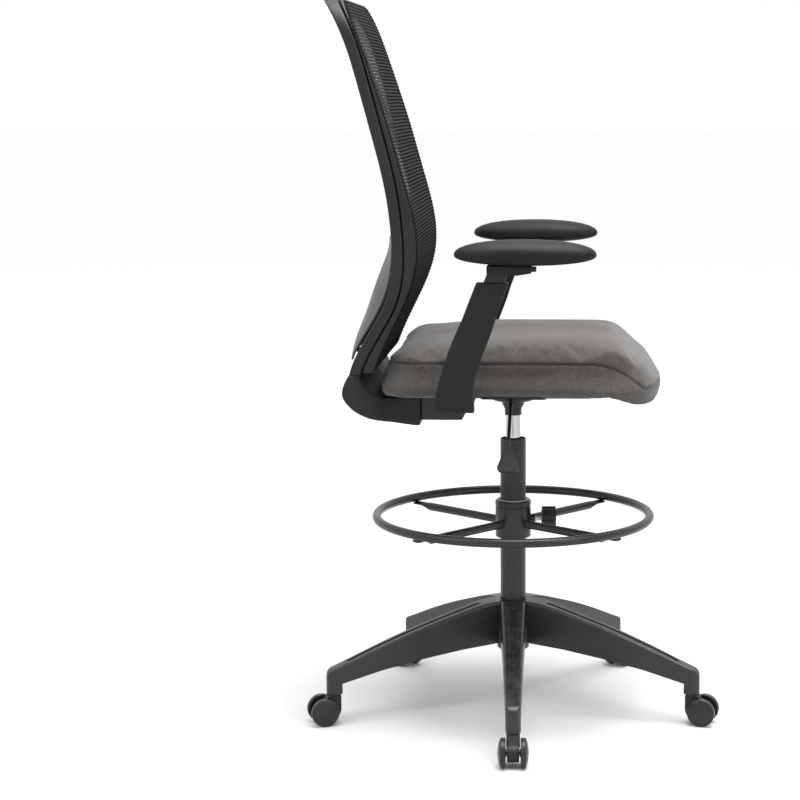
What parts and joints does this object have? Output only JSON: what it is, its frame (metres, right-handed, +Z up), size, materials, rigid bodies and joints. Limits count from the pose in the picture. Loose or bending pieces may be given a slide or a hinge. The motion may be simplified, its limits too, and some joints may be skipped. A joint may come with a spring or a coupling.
{
  "type": "drafting chair",
  "caption": "Tall drafting chair: caster star base, gas lift, height-adjustable foot ring, padded fabric seat, ribbed mesh back and height-adjustable arms.",
  "frame": {"origin": "on the floor, on the column's axis", "axes": "+Z up; the chair faces -Y; the sitter's right hand is at -X"},
  "size_m": [0.7652, 0.7937, 1.372],
  "materials": {
    "base_nylon": "satin moulded glass-filled nylon",
    "black_steel": "satin black powder coat",
    "zinc_steel": "zinc plated",
    "bush_nylon": "natural acetal",
    "caster_nylon": "satin moulded nylon",
    "caster_wheel": "satin moulded nylon",
    "chrome": "polished",
    "black_plastic": "fine-textured black plastic",
    "seat_pan": "black moulded seat pan",
    "seat_fabric": "taupe grey woven upholstery",
    "back_plastic": "fine-textured black nylon",
    "mesh_fabric": "black ribbed elastic mesh",
    "shell_plastic": "satin dark grey plastic",
    "arm_plastic": "fine-textured black plastic",
    "pad_skin": "soft self-skinned polyurethane"
  },
  "bodies": {
    "base": {"base_star": "base_nylon", "hub_collar": "black_steel", "caster_stems": "zinc_steel", "column_tube": "black_steel", "column_bush": "bush_nylon", "thrust_bearing": "zinc_steel"},
    "caster_1": {"caster_1_housing": "caster_nylon", "caster_1_axle": "zinc_steel"},
    "wheel_1_left": {"caster_1_wheel_left": "caster_wheel"},
    "wheel_1_right": {"caster_1_wheel_right": "caster_wheel"},
    "caster_2": {"caster_2_housing": "caster_nylon", "caster_2_axle": "zinc_steel"},
    "wheel_2_left": {"caster_2_wheel_left": "caster_wheel"},
    "wheel_2_right": {"caster_2_wheel_right": "caster_wheel"},
    "caster_3": {"caster_3_housing": "caster_nylon", "caster_3_axle": "zinc_steel"},
    "wheel_3_left": {"caster_3_wheel_left": "caster_wheel"},
    "wheel_3_right": {"caster_3_wheel_right": "caster_wheel"},
    "caster_4": {"caster_4_housing": "caster_nylon", "caster_4_axle": "zinc_steel"},
    "wheel_4_left": {"caster_4_wheel_left": "caster_wheel"},
    "wheel_4_right": {"caster_4_wheel_right": "caster_wheel"},
    "caster_5": {"caster_5_housing": "caster_nylon", "caster_5_axle": "zinc_steel"},
    "wheel_5_left": {"caster_5_wheel_left": "caster_wheel"},
    "wheel_5_right": {"caster_5_wheel_right": "caster_wheel"},
    "seat_post": {"piston_rod": "zinc_steel"},
    "seat": {"gas_cylinder": "chrome", "column_shroud": "black_plastic", "seat_mechanism": "black_steel", "lever_pin": "zinc_steel", "seat_board": "seat_pan", "seat_cushion": "seat_fabric", "back_bracket": "black_steel", "back_yoke": "back_plastic", "back_frame": "back_plastic", "mesh_carrier": "back_plastic", "back_mesh": "mesh_fabric", "lumbar_shell": "shell_plastic", "arm_feet": "black_steel", "arm_right_sleeve": "arm_plastic", "arm_left_sleeve": "arm_plastic", "under_bolts": "zinc_steel"},
    "lift_lever": {"lever_rod": "black_steel", "lever_grip": "black_plastic"},
    "release_pin": {"release_pin": "zinc_steel"},
    "ring_bush": {"ring_bush": "bush_nylon"},
    "foot_ring": {"foot_ring": "black_steel", "ring_spokes": "black_steel", "ring_collar": "black_steel"},
    "lock_knob": {"lock_knob": "black_plastic", "lock_screw": "zinc_steel"},
    "arm_right": {"arm_right_slider": "black_steel", "arm_right_cradle": "arm_plastic", "arm_right_pad": "pad_skin"},
    "arm_right_button": {"arm_right_button": "black_plastic"},
    "arm_left": {"arm_left_slider": "black_steel", "arm_left_cradle": "arm_plastic", "arm_left_pad": "pad_skin"},
    "arm_left_button": {"arm_left_button": "black_plastic"}
  },
  "joints": [
    {"name": "caster_1_swivel", "type": "hinge", "parent": "base", "child": "caster_1", "pos_m": [-0.36218, -0.01518, 0.045], "axis": [0, 0, 1], "continuous": true},
    {"name": "caster_1_left_roll", "type": "hinge", "parent": "caster_1", "child": "wheel_1_left", "pos_m": [-0.38316, -0.01606, 0.027], "axis": [0.0419, -0.9991, 0], "continuous": true},
    {"name": "caster_1_right_roll", "type": "hinge", "parent": "caster_1", "child": "wheel_1_right", "pos_m": [-0.38316, -0.01606, 0.027], "axis": [0.0419, -0.9991, 0], "continuous": true},
    {"name": "caster_2_swivel", "type": "hinge", "parent": "base", "child": "caster_2", "pos_m": [-0.09748, -0.34915, 0.045], "axis": [0, 0, 1], "continuous": true},
    {"name": "caster_2_left_roll", "type": "hinge", "parent": "caster_2", "child": "wheel_2_left", "pos_m": [-0.10313, -0.36937, 0.027], "axis": [0.9632, -0.2689, 0], "continuous": true},
    {"name": "caster_2_right_roll", "type": "hinge", "parent": "caster_2", "child": "wheel_2_right", "pos_m": [-0.10313, -0.36937, 0.027], "axis": [0.9632, -0.2689, 0], "continuous": true},
    {"name": "caster_3_swivel", "type": "hinge", "parent": "base", "child": "caster_3", "pos_m": [0.30193, -0.2006, 0.045], "axis": [0, 0, 1], "continuous": true},
    {"name": "caster_3_left_roll", "type": "hinge", "parent": "caster_3", "child": "wheel_3_left", "pos_m": [0.31943, -0.21223, 0.027], "axis": [0.5534, 0.8329, 0], "continuous": true},
    {"name": "caster_3_right_roll", "type": "hinge", "parent": "caster_3", "child": "wheel_3_right", "pos_m": [0.31943, -0.21223, 0.027], "axis": [0.5534, 0.8329, 0], "continuous": true},
    {"name": "caster_4_swivel", "type": "hinge", "parent": "base", "child": "caster_4", "pos_m": [0.28409, 0.22517, 0.045], "axis": [0, 0, 1], "continuous": true},
    {"name": "caster_4_left_roll", "type": "hinge", "parent": "caster_4", "child": "wheel_4_left", "pos_m": [0.30055, 0.23821, 0.027], "axis": [-0.6211, 0.7837, 0], "continuous": true},
    {"name": "caster_4_right_roll", "type": "hinge", "parent": "caster_4", "child": "wheel_4_right", "pos_m": [0.30055, 0.23821, 0.027], "axis": [-0.6211, 0.7837, 0], "continuous": true},
    {"name": "caster_5_swivel", "type": "hinge", "parent": "base", "child": "caster_5", "pos_m": [-0.12636, 0.33976, 0.045], "axis": [0, 0, 1], "continuous": true},
    {"name": "caster_5_left_roll", "type": "hinge", "parent": "caster_5", "child": "wheel_5_left", "pos_m": [-0.13368, 0.35945, 0.027], "axis": [-0.9373, -0.3486, 0], "continuous": true},
    {"name": "caster_5_right_roll", "type": "hinge", "parent": "caster_5", "child": "wheel_5_right", "pos_m": [-0.13368, 0.35945, 0.027], "axis": [-0.9373, -0.3486, 0], "continuous": true},
    {"name": "seat_swivel", "type": "hinge", "parent": "base", "child": "seat_post", "pos_m": [0, 0, 0.3], "axis": [0, 0, 1], "continuous": true},
    {"name": "seat_lift", "type": "slide", "parent": "seat_post", "child": "seat", "axis": [0, 0, 1], "range_m": [-0.038, 0.19]},
    {"name": "lift_lever_pull", "type": "hinge", "parent": "seat", "child": "lift_lever", "pos_m": [-0.033, 0, 0.6335], "axis": [0, 1, 0], "range_deg": [0, 8], "stiffness_Nm_per_rad": 1.5, "springref_deg": -14.32},
    {"name": "release_pin_press", "type": "slide", "parent": "seat", "child": "release_pin", "axis": [0, 0, -1], "range_m": [0, 0.0047]},
    {"name": "foot_ring_slide", "type": "slide", "parent": "base", "child": "ring_bush", "axis": [0, 0, 1], "range_m": [-0.12, 0.088]},
    {"name": "foot_ring_turn", "type": "hinge", "parent": "ring_bush", "child": "foot_ring", "pos_m": [0, 0, 0.38], "axis": [0, 0, 1], "continuous": true},
    {"name": "lock_knob_turn", "type": "hinge", "parent": "foot_ring", "child": "lock_knob", "pos_m": [0.00586, -0.06975, 0.378], "axis": [0.0837, -0.9965, 0], "range_deg": [0, 540]},
    {"name": "arm_right_height", "type": "slide", "parent": "seat", "child": "arm_right", "axis": [0, -0.3502, 0.9367], "range_m": [-0.01, 0.07]},
    {"name": "arm_right_button_press", "type": "slide", "parent": "arm_right", "child": "arm_right_button", "axis": [0, 1, 0], "range_m": [0, 0.004], "stiffness_N_per_m": 300, "springref_m": -0.002},
    {"name": "arm_left_height", "type": "slide", "parent": "seat", "child": "arm_left", "axis": [0, -0.3502, 0.9367], "range_m": [-0.01, 0.07]},
    {"name": "arm_left_button_press", "type": "slide", "parent": "arm_left", "child": "arm_left_button", "axis": [0, 1, 0], "range_m": [0, 0.004], "stiffness_N_per_m": 300, "springref_m": -0.002}
  ],
  "couplings": [
    {"joint": "release_pin_press", "follows": "lift_lever_pull", "m_per_rad": 0.033}
  ]
}
